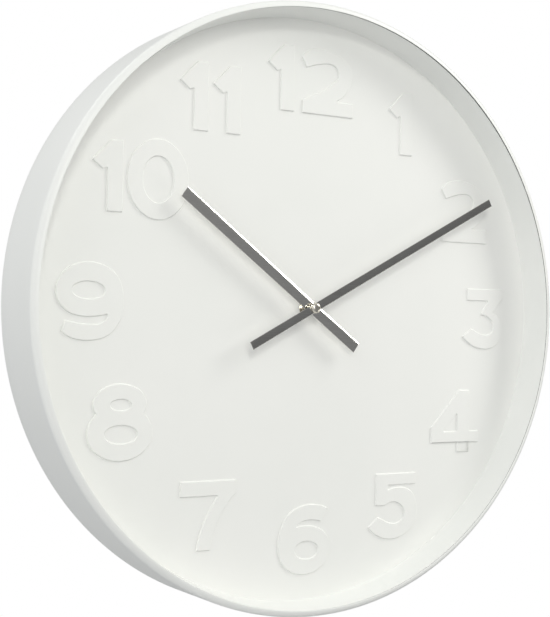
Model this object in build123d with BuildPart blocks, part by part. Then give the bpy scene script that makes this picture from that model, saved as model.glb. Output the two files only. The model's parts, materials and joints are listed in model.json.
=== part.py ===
# Round wall clock: deep white rim, pressed dial with raised numerals, two bar hands, quartz movement
# Frame: +Z is up, the front faces -Y, and the origin lies on the wall plane at the clock's axis.
# A height is a distance from the wall towards the viewer. Lengths are in millimetres, angles in degrees.
# Directions on the dial run counter-clockwise from +X as the viewer sees them.
import os
from math import acos, cos, degrees, radians, sin

from build123d import *

os.makedirs("parts", exist_ok=True)

# Rim
case_diameter = 510.0
case_depth = 67.0
recess_depth = 28.0  # from the front of the lip back to the dial
sheet_thickness = 1.0
lip_width = 5.8
wall_draft = 3.5  # how much the inner wall closes in from the lip to the dial
rear_flange_width = 7.0

# Dial and numerals
dial_thickness = 1.0
dial_edge_cover = 1.3  # how far the dial reaches behind the foot of the inner wall
dial_hole_clearance = 0.2
numeral_height_share = 0.2303622  # of the radius of the dial's open face
numeral_ring_share = 0.7895808
numeral_rise_share = 0.0212  # of the numeral's height
numeral_chamfer_share = 0.008

# Rear cover, its spacer, brackets and screws
cover_setback = 3.5  # from the wall to the back of the cover
cover_thickness = 2.5
cover_edge_clearance = 0.5
cover_opening_width = 92.0
cover_opening_corner = 2.0
spacer_inset = 9.0  # from the edge of the dial to the outside of the spacer
spacer_thickness = 2.5
bracket_count = 6
bracket_first_direction = 30.0
bracket_width = 16.0
bracket_thickness = 1.5
bracket_foot_length = 14.0
bracket_ear_length = 12.0
bracket_wall_gap = 0.2
screw_radius = 1.5
screw_length = 7.5
screw_head_radius = 3.0
screw_head_height = 1.8
screw_inset = 3.5  # from the edge of the cover to the screw's axis
screw_clearance = 0.25
screw_slot_width = 0.8
screw_slot_depth = 0.7

# Hanger
hanger_edge_distance = 57.5  # from the top edge of the cover down to the middle of the plate
hanger_width = 46.0
hanger_height = 54.0
hanger_corner = 4.0
hanger_thickness = 1.0
hanger_entry_radius = 5.0
hanger_slot_radius = 2.5
hanger_slot_travel = 14.0
hanger_window_margin = 4.0
rivet_radius = 1.5
rivet_head_radius = 2.6
rivet_head_height = 0.9
rivet_inset = 6.0

# Movement case
movement_width = 56.0
movement_depth = 18.0
movement_wall = 1.5
movement_corner = 3.0
bay_wall = 1.1
back_clearance = 0.1
post_width = 4.0
pillar_radius = 1.6
gasket_thickness = 1.0
gasket_radius = 12.0

# Centre bush and its fastening on the dial
bush_radius = 4.0
bush_stand_out = 4.3  # how far the bush stands out of the dial
press_clearance = 0.02
running_clearance = 0.05
washer_radius = 6.8
washer_thickness = 0.5
nut_corner_radius = 6.0
nut_height = 2.2
nut_chamfer = 0.4

# Hands
hand_thickness = 0.8
hour_hand_rise = 10.0  # from the dial to the back of the hand
minute_hand_rise = 13.6
hour_hand_length_share = 0.704  # of the minute hand's length
hour_hand_tail = 56.0
hour_hand_width = 10.2
hour_hand_clock_angle = 306.3  # clockwise from twelve
minute_hand_gap = 29.7  # from the tip to the foot of the rim's wall
minute_hand_tail = 69.0
minute_hand_width = 7.0
minute_hand_clock_angle = 62.0
hand_edge_chamfer = 0.25
hour_collet_radius = 3.9
hour_collet_length = 4.6
collet_neck_wall = 0.6
minute_collet_radius = 3.2
minute_collet_length = 1.8
cap_radius = 4.4
cap_height = 3.4
cap_edge_fillet = 1.2
cap_bore_depth = 2.0

# Arbors and pivots
hour_pipe_radius = 2.5
minute_arbor_radius = 1.5
minute_tip_radius = 1.2
back_arbor_radius = 0.9
pivot_radius = 0.5
arbor_radius = 0.7
pivot_depth = 0.9
pivot_end_play = 0.1

# Wheels: modules, thicknesses and the gaps between layers
motion_module = 0.40
centre_module = 0.30
third_module = 0.28
second_module = 0.25
rotor_module = 0.30
wheel_thickness = 1.0
hour_wheel_thickness = 1.2
layer_gap = 0.5
plate_gap = 0.6
train_plate_thickness = 1.2
pinion_overhang = 0.2
cannon_teeth = 12
minute_wheel_teeth = 36
minute_pinion_teeth = 10
hour_wheel_teeth = 40
knob_teeth = 12
centre_wheel_teeth = 64
third_pinion_teeth = 8
third_wheel_teeth = 60
second_pinion_teeth = 8
second_wheel_teeth = 60
intermediate_pinion_teeth = 10
intermediate_wheel_teeth = 30
rotor_pinion_teeth = 6
minute_wheel_direction = 60.0
knob_direction = 20.0
third_wheel_direction = 130.0
second_wheel_direction = 170.0
intermediate_wheel_direction = 95.0
rotor_direction = 15.0

# Setting knob
knob_shaft_radius = 1.6
knob_radius = 5.0
knob_height = 3.2
knob_gap = 0.8
knob_rib_count = 24
knob_rib_depth = 0.3

# Motor
magnet_radius = 2.2
magnet_height = 1.6
magnet_clearance = 0.4
stator_thickness = 0.8
stator_ring_width = 1.4
stator_arm_width = 2.2
stator_arm_drop = 4.5  # from the coil's axis down to the middle of the lower arm
coil_offset_x = 8.5
coil_offset_z = 20.5
coil_length = 20.8
coil_radius = 3.0
bobbin_flange_thickness = 0.8
bobbin_tube_radius = 1.9
winding_clearance = 0.1
core_width = 2.2
core_thickness = 0.8
core_overhang = 2.6
core_clearance = 0.1
coil_window_margin = 0.6

# Circuit board
board_width = 14.0
board_height = 16.0
board_thickness = 1.0
board_standoff = 1.0
board_offset_x = 14.5
board_offset_z = -1.0
board_boss_radius = 1.2
board_boss_inset = 2.0
chip_width = 5.0
chip_height = 1.0
chip_offset_x = -2.0
chip_offset_z = -3.0
crystal_radius = 1.0
crystal_length = 6.0
crystal_offset_z = 4.5
crystal_seat_width = 1.2

# Battery and contacts
battery_radius = 7.25
battery_length = 49.5
battery_nub_radius = 2.75
battery_nub_length = 1.0
battery_edge_fillet = 0.6
battery_side_clearance = 0.25
contact_thickness = 0.4
contact_width = 9.0
contact_wall_gap = 0.05
leaf_flat_width = 1.2

cut_overrun = 1.0  # how far every cutting tool reaches past what it cuts

# Tooth form in shares of the module and of the tooth pitch
addendum_share = 0.7
dedendum_share = 0.95
tooth_root_share = 0.22
tooth_tip_share = 0.11

# Heights and radii worked out from the sizes above
case_radius = case_diameter / 2
rim_inner_radius = case_radius - sheet_thickness
wall_front_radius = case_radius - lip_width
lip_height = case_depth - lip_width
lip_inside_radius = lip_width - sheet_thickness
lip_inside_turn = degrees(acos(sheet_thickness / lip_inside_radius))
lip_inside_height = lip_height + lip_inside_radius * sin(radians(lip_inside_turn))
wall_foot_radius = wall_front_radius - wall_draft
flange_radius = case_radius - rear_flange_width
dial_face = case_depth - recess_depth
dial_back = dial_face - dial_thickness
dial_radius = wall_foot_radius + dial_edge_cover
dial_hole_radius = bush_radius + dial_hole_clearance
numeral_height = numeral_height_share * wall_foot_radius
numeral_ring_radius = numeral_ring_share * wall_foot_radius
numeral_rise = numeral_rise_share * numeral_height
numeral_edge_chamfer = numeral_chamfer_share * numeral_height
cover_front = cover_setback + cover_thickness
cover_radius = flange_radius - cover_edge_clearance
screw_circle_radius = cover_radius - screw_inset
spacer_radius = dial_radius - spacer_inset
hanger_offset = cover_radius - hanger_edge_distance
movement_front = dial_back - gasket_thickness
movement_rear = movement_front - movement_depth
train_front = movement_front - movement_wall
back_inner = movement_rear + movement_wall
movement_half = movement_width / 2
inner_half = movement_half - movement_wall
battery_place_z = battery_radius + battery_side_clearance - inner_half
bay_top = battery_place_z + battery_radius + battery_side_clearance
train_floor = bay_top + bay_wall
post_reach = inner_half - post_width

# Layers of the train, from the front wall of the movement back to its rear plate
hour_wheel_front = train_front - layer_gap
hour_wheel_back = hour_wheel_front - hour_wheel_thickness
minute_wheel_front = hour_wheel_back - layer_gap
minute_wheel_back = minute_wheel_front - wheel_thickness
plate_front = minute_wheel_back - plate_gap
plate_back = plate_front - train_plate_thickness
centre_wheel_front = plate_back - layer_gap
centre_wheel_back = centre_wheel_front - wheel_thickness
third_wheel_front = centre_wheel_back - plate_gap
third_wheel_back = third_wheel_front - wheel_thickness
second_wheel_front = third_wheel_back - plate_gap
second_wheel_back = second_wheel_front - wheel_thickness
intermediate_wheel_front = second_wheel_back - plate_gap
intermediate_wheel_back = intermediate_wheel_front - wheel_thickness
pivot_hole_radius = pivot_radius + running_clearance
arbor_front = plate_back - pivot_end_play
arbor_back = back_inner + pivot_end_play

# Hand stack
minute_hand_length = wall_foot_radius - minute_hand_gap
hour_hand_length = hour_hand_length_share * minute_hand_length
hour_hand_back = dial_face + hour_hand_rise
hour_hand_front = hour_hand_back + hand_thickness
minute_hand_back = dial_face + minute_hand_rise
minute_hand_front = minute_hand_back + hand_thickness
minute_bore_radius = minute_arbor_radius + running_clearance
hour_bore_radius = hour_pipe_radius + running_clearance
hour_collet_bore = hour_pipe_radius + press_clearance
hour_neck_radius = hour_collet_bore + collet_neck_wall
minute_collet_bore = minute_arbor_radius + press_clearance
tip_bore_radius = minute_tip_radius + press_clearance


def stepped(start, distance, direction):
    """The place reached from another place by going a distance in a direction."""
    return (start[0] + distance * cos(radians(direction)), start[1] + distance * sin(radians(direction)))


def front_plane(height, place=(0, 0)):
    """A plane that faces the viewer at a height above the wall, with its origin at a place on the dial."""
    return Plane(origin=(place[0], -height, place[1]), x_dir=(1, 0, 0), z_dir=(0, -1, 0))


def hand_plane(height, clock_angle):
    """A plane that faces the viewer and whose Y axis points at an angle clockwise from twelve."""
    across = (cos(radians(clock_angle)), 0, -sin(radians(clock_angle)))
    return Plane(origin=(0, -height, 0), x_dir=across, z_dir=(0, -1, 0))


def round_bar(radius, near, far, place=(0, 0), mode=Mode.ADD):
    """Adds or cuts a round bar between two heights in the part being built."""
    with Locations(front_plane(near, place)):
        Cylinder(radius, far - near, align=(Align.CENTER, Align.CENTER, Align.MIN), mode=mode)


def block(width, height, near, far, place=(0, 0), mode=Mode.ADD):
    """Adds or cuts a block between two heights in the part being built."""
    with Locations(front_plane(near, place)):
        Box(width, height, far - near, align=(Align.CENTER, Align.CENTER, Align.MIN), mode=mode)


def gear_points(teeth, module, first_tooth):
    """Corners of a spur gear whose first tooth points in a given direction."""
    pitch_angle = 360 / teeth
    root = module * (teeth / 2 - dedendum_share)
    tip = module * (teeth / 2 + addendum_share)
    corners = []
    for tooth in range(teeth):
        middle = first_tooth + tooth * pitch_angle
        corners.append(stepped((0, 0), root, middle - tooth_root_share * pitch_angle))
        corners.append(stepped((0, 0), tip, middle - tooth_tip_share * pitch_angle))
        corners.append(stepped((0, 0), tip, middle + tooth_tip_share * pitch_angle))
        corners.append(stepped((0, 0), root, middle + tooth_root_share * pitch_angle))
    return corners


def meshing_tooth(direction, teeth):
    """First tooth of a gear whose gap meets a tooth that comes towards it in a given direction."""
    return direction + 180 + 180 / teeth


# Places of the arbors
axis_place = (0, 0)
motion_distance = motion_module * (cannon_teeth + minute_wheel_teeth) / 2
hour_module = 2 * motion_distance / (minute_pinion_teeth + hour_wheel_teeth)
minute_wheel_place = stepped(axis_place, motion_distance, minute_wheel_direction)
knob_distance = motion_module * (minute_wheel_teeth + knob_teeth) / 2
knob_place = stepped(minute_wheel_place, knob_distance, knob_direction)
third_distance = centre_module * (centre_wheel_teeth + third_pinion_teeth) / 2
third_place = stepped(axis_place, third_distance, third_wheel_direction)
second_distance = third_module * (third_wheel_teeth + second_pinion_teeth) / 2
second_place = stepped(third_place, second_distance, second_wheel_direction)
intermediate_distance = second_module * (second_wheel_teeth + intermediate_pinion_teeth) / 2
intermediate_place = stepped(second_place, intermediate_distance, intermediate_wheel_direction)
rotor_distance = rotor_module * (intermediate_wheel_teeth + rotor_pinion_teeth) / 2
rotor_place = stepped(intermediate_place, rotor_distance, rotor_direction)
coil_place = (coil_offset_x, coil_offset_z)
train_pivots = (third_place, second_place, intermediate_place, rotor_place)

# The knob's teeth take up the phase that the minute wheel has on the knob's side
minute_wheel_pitch = 360 / minute_wheel_teeth
minute_wheel_first_tooth = minute_wheel_direction + 180
knob_phase_share = ((knob_direction - minute_wheel_first_tooth) / minute_wheel_pitch) % 1
knob_first_tooth = meshing_tooth(knob_direction, knob_teeth) + knob_phase_share * 360 / knob_teeth
hour_wheel_first_tooth = meshing_tooth(minute_wheel_first_tooth, hour_wheel_teeth)
cannon_first_tooth = meshing_tooth(minute_wheel_first_tooth, cannon_teeth)
intermediate_first_tooth = meshing_tooth(intermediate_wheel_direction, intermediate_pinion_teeth)

# Numeral outlines in shares of the numeral height, from each numeral's left edge and foot
one_shares = ((0.23, 0), (0.475, 0), (0.475, 1), (0.29, 1), (0, 0.705), (0.175, 0.574), (0.23, 0.605))
two_base_shares = ((0.02, 0.2), (0.02, 0), (0.95, 0), (0.95, 0.234), (0.64, 0.234))
two_outer_shares = ((0.64, 0.234), (0.87, 0.45), (0.93, 0.7), (0.46, 1.007), (0, 0.846))
two_inner_shares = (
    (0.093, 0.69), (0.25, 0.742), (0.45, 0.785), (0.61, 0.755), (0.668, 0.64), (0.58, 0.51), (0.4, 0.385),
    (0.02, 0.2),
)
three_bar_shares = (
    (0.4, 0.553), (0.4, 0.605), (0.545, 0.793), (0.105, 0.793),
    (0.105, 0.993), (0.866, 0.993), (0.866, 0.845), (0.64, 0.6),
)
three_outer_shares = (
    (0.64, 0.6), (0.81, 0.5), (0.868, 0.33), (0.735, 0.078), (0.47, 0.003), (0.22, 0.058), (0, 0.21),
)
three_inner_shares = (
    (0.195, 0.345), (0.33, 0.283), (0.5, 0.246), (0.633, 0.3), (0.648, 0.42), (0.55, 0.522), (0.4, 0.553),
)
four_shares = (
    (0.53, 0), (0.785, 0), (0.785, 0.15), (0.977, 0.15), (0.977, 0.345),
    (0.785, 0.345), (0.785, 1), (0.562, 1), (0, 0.4), (0, 0.15), (0.53, 0.15),
)
four_hole_shares = ((0.263, 0.34), (0.53, 0.34), (0.53, 0.617))
five_bar_shares = (
    (0.34, 0.493), (0.143, 0.493), (0.143, 0.991), (0.917, 0.991),
    (0.917, 0.803), (0.38, 0.803), (0.37, 0.735),
)
five_outer_shares = (
    (0.37, 0.735), (0.57, 0.772), (0.81, 0.715), (0.952, 0.4), (0.79, 0.075), (0.46, -0.035), (0.2, 0.018),
    (0, 0.175),
)
five_inner_shares = (
    (0.19, 0.325), (0.33, 0.257), (0.5, 0.214), (0.65, 0.27), (0.688, 0.38), (0.62, 0.488), (0.49, 0.538),
    (0.34, 0.493),
)
six_outer_shares = (
    (0.925, 0.94), (0.61, 1.013), (0.24, 0.895), (0.052, 0.52), (0.135, 0.125), (0.51, -0.037),
    (0.885, 0.115), (0.98, 0.33), (0.88, 0.575), (0.64, 0.688), (0.365, 0.683),
)
six_slit_shares = ((0.365, 0.683), (0.43, 0.733), (0.62, 0.771), (0.805, 0.735))
six_hole_shares = ((0.548, 0.33), (0.2, 0.128))  # middle, radii
seven_bar_shares = ((0.608, 0.772), (0, 0.772), (0, 1), (0.917, 1), (0.917, 0.8))
seven_outer_shares = ((0.917, 0.8), (0.61, 0.4), (0.5, 0))
seven_inner_shares = ((0.265, 0), (0.39, 0.42), (0.608, 0.772))
eight_outer_shares = (((0.498, 0.36), (0.5, 0.388)), ((0.493, 0.76), (0.408, 0.287)))
eight_hole_shares = (((0.512, 0.342), (0.243, 0.124)), ((0.505, 0.75), (0.153, 0.074)))
nine_outer_shares = (
    (0.045, 0.085), (0.2, -0.008), (0.42, -0.038), (0.71, 0.018), (0.9, 0.21), (0.966, 0.57), (0.86, 0.868),
    (0.45, 1.043), (0.06, 0.89), (-0.045, 0.63), (0.09, 0.38), (0.44, 0.286), (0.72, 0.325),
)
nine_slit_shares = ((0.72, 0.325), (0.66, 0.228), (0.46, 0.191), (0.28, 0.208), (0.1, 0.24))
nine_hole_shares = ((0.437, 0.652), (0.238, 0.117))
zero_outer_shares = (((0.485, 0.5), (0.485, 0.575)),)
zero_hole_shares = (((0.485, 0.5), (0.235, 0.325)),)

# Width of each numeral, and the places of the marks on the ring: digit, then its shift in shares of height
numeral_width_shares = {
    "0": 0.97, "1": 0.475, "2": 0.95, "3": 0.866, "4": 0.977,
    "5": 0.965, "6": 0.995, "7": 0.917, "8": 0.996, "9": 0.995,
}
numeral_mark_shares = {
    1: (("1", 0, -0.02),),
    2: (("2", 0.05, -0.08),),
    3: (("3", 0, -0.09),),
    4: (("4", -0.1, -0.03),),
    5: (("5", -0.06, -0.05),),
    6: (("6", 0, -0.01),),
    7: (("7", 0.09, -0.03),),
    8: (("8", -0.05, 0.06),),
    9: (("9", -0.03, 0.01),),
    10: (("1", -0.3, 0.03), ("0", 0.475, 0.03)),
    11: (("1", -0.235, 0.02), ("1", 0.3, 0.02)),
    12: (("1", -0.5, 0), ("2", 0.33, 0)),
}


def outline(shares):
    """Points of a numeral's outline at its real size."""
    return [(across * numeral_height, up * numeral_height) for across, up in shares]


def straight_numeral(shares, hole_shares=()):
    """A numeral of straight edges, with an opening where it has one."""
    with BuildSketch() as numeral:
        Polygon(*outline(shares), align=None)
        if hole_shares:
            Polygon(*outline(hole_shares), align=None, mode=Mode.SUBTRACT)
    return numeral.sketch


def curved_numeral(bar_shares, outer_shares, inner_shares):
    """A numeral of one straight-edged bar that runs on into a bowl or a leg."""
    with BuildSketch() as numeral:
        with BuildLine():
            Polyline(*outline(bar_shares))
            Spline(*outline(outer_shares))
            Line(*outline((outer_shares[-1], inner_shares[0])))
            Spline(*outline(inner_shares))
        make_face()
    return numeral.sketch


def add_ovals(ovals, mode):
    """Ovals added to a numeral or cut from it."""
    for (middle, radii) in ovals:
        with Locations(*outline((middle,))):
            Ellipse(radii[0] * numeral_height, radii[1] * numeral_height, mode=mode)


def ring_numeral(outer_ovals, hole_ovals):
    """A numeral of one or more oval rings."""
    with BuildSketch() as numeral:
        add_ovals(outer_ovals, Mode.ADD)
        add_ovals(hole_ovals, Mode.SUBTRACT)
    return numeral.sketch


def curled_numeral(outer_shares, slit_shares, hole_oval):
    """A numeral of one arm that curls round into a bowl, with a slit between the two."""
    with BuildSketch() as numeral:
        with BuildLine():
            Spline(*outline(outer_shares))
            Spline(*outline(slit_shares))
            Line(*outline((slit_shares[-1], outer_shares[0])))
        make_face()
        add_ovals((hole_oval,), Mode.SUBTRACT)
    return numeral.sketch


numerals = {
    "0": ring_numeral(zero_outer_shares, zero_hole_shares),
    "1": straight_numeral(one_shares),
    "2": curved_numeral(two_base_shares, two_outer_shares, two_inner_shares),
    "3": curved_numeral(three_bar_shares, three_outer_shares, three_inner_shares),
    "4": straight_numeral(four_shares, four_hole_shares),
    "5": curved_numeral(five_bar_shares, five_outer_shares, five_inner_shares),
    "6": curled_numeral(six_outer_shares, six_slit_shares, six_hole_shares),
    "7": curved_numeral(seven_bar_shares, seven_outer_shares, seven_inner_shares),
    "8": ring_numeral(eight_outer_shares, eight_hole_shares),
    "9": curled_numeral(nine_outer_shares, nine_slit_shares, nine_hole_shares),
}


def numeral_corner(hour, digit, shift_across, shift_up):
    """Where a numeral's left foot goes, from its place on the ring."""
    middle = stepped(axis_place, numeral_ring_radius, 90 - hour * 30)
    across = shift_across - numeral_width_shares[digit] / 2
    up = shift_up - 1 / 2
    return (middle[0] + across * numeral_height, middle[1] + up * numeral_height)


# Rim: one sheet that runs from the wall flange over the rounded lip down to the dial
with BuildPart() as case_rim:
    with BuildSketch(Plane.XY):
        with BuildLine():
            Polyline((flange_radius, 0), (case_radius, 0), (case_radius, -lip_height))
            CenterArc((wall_front_radius, -lip_height), lip_width, -90, 90)
            Polyline(
                (wall_front_radius, -case_depth),
                (wall_foot_radius, -dial_face),
                (wall_foot_radius + sheet_thickness, -dial_face),
                (wall_front_radius + sheet_thickness, -lip_inside_height),
            )
            CenterArc((wall_front_radius, -lip_height), lip_inside_radius, -lip_inside_turn, lip_inside_turn)
            Polyline(
                (rim_inner_radius, -lip_height),
                (rim_inner_radius, -sheet_thickness),
                (flange_radius, -sheet_thickness),
                (flange_radius, 0),
            )
        make_face()
    revolve(axis=Axis.Y)
case_rim.part.label = "case_rim"
export_step(case_rim.part, "parts/case_rim.step")

# Dial: a pressed disc with raised numerals
with BuildPart() as dial:
    with BuildSketch(front_plane(dial_back)):
        Circle(dial_radius)
        Circle(dial_hole_radius, mode=Mode.SUBTRACT)
    extrude(amount=dial_thickness)
    with BuildSketch(front_plane(dial_face)):
        for hour, marks in numeral_mark_shares.items():
            for (digit, shift_across, shift_up) in marks:
                with Locations(numeral_corner(hour, digit, shift_across, shift_up)):
                    add(numerals[digit])
    extrude(amount=numeral_rise)
    chamfer(dial.faces().filter_by(Axis.Y).group_by(Axis.Y)[0].edges(), numeral_edge_chamfer)
dial.part.label = "dial"
export_step(dial.part, "parts/dial.step")

# Rear cover: a flat disc with windows for the movement and the hanger
with BuildPart() as rear_cover:
    with BuildSketch(front_plane(cover_setback)):
        Circle(cover_radius)
        RectangleRounded(cover_opening_width, cover_opening_width, cover_opening_corner, mode=Mode.SUBTRACT)
        with Locations((0, hanger_offset)):
            RectangleRounded(
                2 * (hanger_entry_radius + hanger_window_margin),
                hanger_slot_travel + 2 * (hanger_entry_radius + hanger_window_margin),
                hanger_corner,
                mode=Mode.SUBTRACT,
            )
            with GridLocations(hanger_width - 2 * rivet_inset, hanger_height - 2 * rivet_inset, 2, 2):
                Circle(rivet_radius + press_clearance, mode=Mode.SUBTRACT)
        with PolarLocations(screw_circle_radius, bracket_count, bracket_first_direction):
            Circle(screw_radius + screw_clearance, mode=Mode.SUBTRACT)
    extrude(amount=cover_thickness)
rear_cover.part.label = "rear_cover"
export_step(rear_cover.part, "parts/rear_cover.step")

# Dial spacer: the ring that stands on the cover and presses the dial against the rim
with BuildPart() as dial_spacer:
    with BuildSketch(front_plane(cover_front)):
        Circle(spacer_radius)
        Circle(spacer_radius - spacer_thickness, mode=Mode.SUBTRACT)
    extrude(amount=dial_back - cover_front)
dial_spacer.part.label = "dial_spacer"
export_step(dial_spacer.part, "parts/dial_spacer.step")

# Rim brackets: angle tabs on the inside of the rim that take the cover's screws
with BuildPart() as rim_brackets:
    ear_end_radius = rim_inner_radius - bracket_wall_gap
    with BuildSketch(front_plane(cover_front)):
        with PolarLocations(ear_end_radius, bracket_count, bracket_first_direction):
            Rectangle(bracket_ear_length, bracket_width, align=(Align.MAX, Align.CENTER))
        with PolarLocations(screw_circle_radius, bracket_count, bracket_first_direction):
            Circle(screw_radius + press_clearance, mode=Mode.SUBTRACT)
    extrude(amount=bracket_thickness)
    with BuildSketch(front_plane(cover_front)):
        with PolarLocations(ear_end_radius, bracket_count, bracket_first_direction):
            Rectangle(bracket_thickness, bracket_width, align=(Align.MAX, Align.CENTER))
    extrude(amount=bracket_foot_length)
rim_brackets.part.label = "rim_brackets"
export_step(rim_brackets.part, "parts/rim_brackets.step")

# Cover screws: slotted pan heads behind the cover
with BuildPart() as cover_screws:
    with BuildSketch(front_plane(cover_setback)):
        with PolarLocations(screw_circle_radius, bracket_count, bracket_first_direction):
            Circle(screw_radius)
    extrude(amount=screw_length)
    with BuildSketch(front_plane(cover_setback)):
        with PolarLocations(screw_circle_radius, bracket_count, bracket_first_direction):
            Circle(screw_head_radius)
    extrude(amount=-screw_head_height)
    with BuildSketch(front_plane(cover_setback - screw_head_height)):
        with PolarLocations(screw_circle_radius, bracket_count, bracket_first_direction):
            Rectangle(2 * screw_head_radius + cut_overrun, screw_slot_width)
    extrude(amount=screw_slot_depth, mode=Mode.SUBTRACT)
cover_screws.part.label = "cover_screws"
export_step(cover_screws.part, "parts/cover_screws.step")

# Hanger plate: a keyhole plate on the back of the cover
hanger_entry_z = hanger_offset - hanger_slot_travel / 2
hanger_slot_z = hanger_offset + hanger_slot_travel / 2
with BuildPart() as hanger_plate:
    with BuildSketch(front_plane(cover_setback - hanger_thickness)):
        with Locations((0, hanger_offset)):
            RectangleRounded(hanger_width, hanger_height, hanger_corner)
            Rectangle(2 * hanger_slot_radius, hanger_slot_travel, mode=Mode.SUBTRACT)
            with GridLocations(hanger_width - 2 * rivet_inset, hanger_height - 2 * rivet_inset, 2, 2):
                Circle(rivet_radius + press_clearance, mode=Mode.SUBTRACT)
        with Locations((0, hanger_entry_z)):
            Circle(hanger_entry_radius, mode=Mode.SUBTRACT)
        with Locations((0, hanger_slot_z)):
            Circle(hanger_slot_radius, mode=Mode.SUBTRACT)
    extrude(amount=hanger_thickness)
hanger_plate.part.label = "hanger_plate"
export_step(hanger_plate.part, "parts/hanger_plate.step")

# Hanger rivets: a head on each side of plate and cover
with BuildPart() as hanger_rivets:
    rivet_back = cover_setback - hanger_thickness
    with BuildSketch(front_plane(rivet_back)):
        with Locations((0, hanger_offset)):
            with GridLocations(hanger_width - 2 * rivet_inset, hanger_height - 2 * rivet_inset, 2, 2):
                Circle(rivet_radius)
    extrude(amount=cover_front - rivet_back)
    with BuildSketch(front_plane(rivet_back), front_plane(cover_front + rivet_head_height)):
        with Locations((0, hanger_offset)):
            with GridLocations(hanger_width - 2 * rivet_inset, hanger_height - 2 * rivet_inset, 2, 2):
                Circle(rivet_head_radius)
    extrude(amount=-rivet_head_height)
hanger_rivets.part.label = "hanger_rivets"
export_step(hanger_rivets.part, "parts/hanger_rivets.step")

# Movement case: a tray open to the back, with the train above and the battery bay below
train_height = inner_half - train_floor
train_middle_z = (inner_half + train_floor) / 2
bay_height = bay_top + inner_half
bay_middle_z = (bay_top - inner_half) / 2
post_places = [(side * (inner_half - post_width / 2), z) for side in (-1, 1)
               for z in (inner_half - post_width / 2, train_floor + post_width / 2)]
pillar_reach = post_reach - pillar_radius - back_clearance
pillar_places = [(side * pillar_reach, train_floor + 2 * pillar_radius) for side in (-1, 1)]
pillar_places += [(side * pillar_reach, inner_half - 2 * pillar_radius) for side in (-1, 1)]
with BuildPart() as movement_case:
    with BuildSketch(front_plane(movement_rear)):
        RectangleRounded(movement_width, movement_width, movement_corner)
    extrude(amount=movement_depth)
    tray_mouth = movement_rear - cut_overrun
    block(2 * inner_half, train_height, tray_mouth, train_front, (0, train_middle_z), Mode.SUBTRACT)
    block(2 * inner_half, bay_height, tray_mouth, train_front, (0, bay_middle_z), Mode.SUBTRACT)
    for place in post_places:
        block(post_width, post_width, back_inner, train_front, place)
    for place in pillar_places:
        round_bar(pillar_radius, plate_front, train_front, place)
    round_bar(bush_radius + press_clearance, train_front - cut_overrun, movement_front + cut_overrun,
              mode=Mode.SUBTRACT)
    for place in (minute_wheel_place, knob_place):
        round_bar(pivot_hole_radius, train_front - cut_overrun, train_front + pivot_depth, place,
                  Mode.SUBTRACT)
movement_case.part.label = "movement_case"
export_step(movement_case.part, "parts/movement_case.step")

# Movement back: the plate that closes the train and carries the rear pivots and the circuit board
back_width = 2 * (inner_half - back_clearance)
back_height = train_height - 2 * back_clearance
board_front = back_inner + board_standoff + board_thickness
board_middle = (board_offset_x, board_offset_z)
boss_span_x = board_width - 2 * board_boss_inset
boss_span_z = board_height - 2 * board_boss_inset
with BuildPart() as movement_back:
    block(back_width, back_height, movement_rear, back_inner, (0, train_middle_z))
    with BuildSketch(front_plane(back_inner, board_middle)):
        with GridLocations(boss_span_x, boss_span_z, 2, 2):
            Circle(board_boss_radius)
    extrude(amount=board_standoff)
    for place in (axis_place,) + train_pivots:
        round_bar(pivot_hole_radius, back_inner - pivot_depth, back_inner + cut_overrun, place,
                  Mode.SUBTRACT)
    round_bar(knob_shaft_radius + running_clearance, movement_rear - cut_overrun, back_inner + cut_overrun,
              knob_place, Mode.SUBTRACT)
movement_back.part.label = "movement_back"
export_step(movement_back.part, "parts/movement_back.step")

# Train plate: carries the front pivots of the going train and the motor
plate_width = 2 * (post_reach - back_clearance)
with BuildPart() as train_plate:
    block(plate_width, back_height, plate_back, plate_front, (0, train_middle_z))
    block(coil_length + 2 * coil_window_margin, 2 * (coil_radius + coil_window_margin),
          plate_back - cut_overrun, plate_front + cut_overrun, coil_place, Mode.SUBTRACT)
    round_bar(minute_bore_radius, plate_back - cut_overrun, plate_front + cut_overrun, mode=Mode.SUBTRACT)
    round_bar(knob_shaft_radius + running_clearance, plate_back - cut_overrun, plate_front + cut_overrun,
              knob_place, Mode.SUBTRACT)
    for place in train_pivots + (minute_wheel_place,):
        round_bar(pivot_hole_radius, plate_back - cut_overrun, plate_front + cut_overrun, place,
                  Mode.SUBTRACT)
train_plate.part.label = "train_plate"
export_step(train_plate.part, "parts/train_plate.step")

# Centre bush: the tube that holds the movement to the dial
bush_front = dial_face + bush_stand_out
with BuildPart() as centre_bush:
    round_bar(bush_radius, train_front, bush_front)
    round_bar(hour_bore_radius, train_front - cut_overrun, bush_front + cut_overrun, mode=Mode.SUBTRACT)
centre_bush.part.label = "centre_bush"
export_step(centre_bush.part, "parts/centre_bush.step")

# Gasket between movement and dial
with BuildPart() as dial_gasket:
    round_bar(gasket_radius, movement_front, dial_back)
    round_bar(dial_hole_radius, movement_front - cut_overrun, dial_back + cut_overrun, mode=Mode.SUBTRACT)
dial_gasket.part.label = "dial_gasket"
export_step(dial_gasket.part, "parts/dial_gasket.step")

# Washer and hexagon nut on the front of the dial
nut_back = dial_face + washer_thickness
with BuildPart() as dial_washer:
    round_bar(washer_radius, dial_face, nut_back)
    round_bar(dial_hole_radius, dial_face - cut_overrun, nut_back + cut_overrun, mode=Mode.SUBTRACT)
dial_washer.part.label = "dial_washer"
export_step(dial_washer.part, "parts/dial_washer.step")

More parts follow.
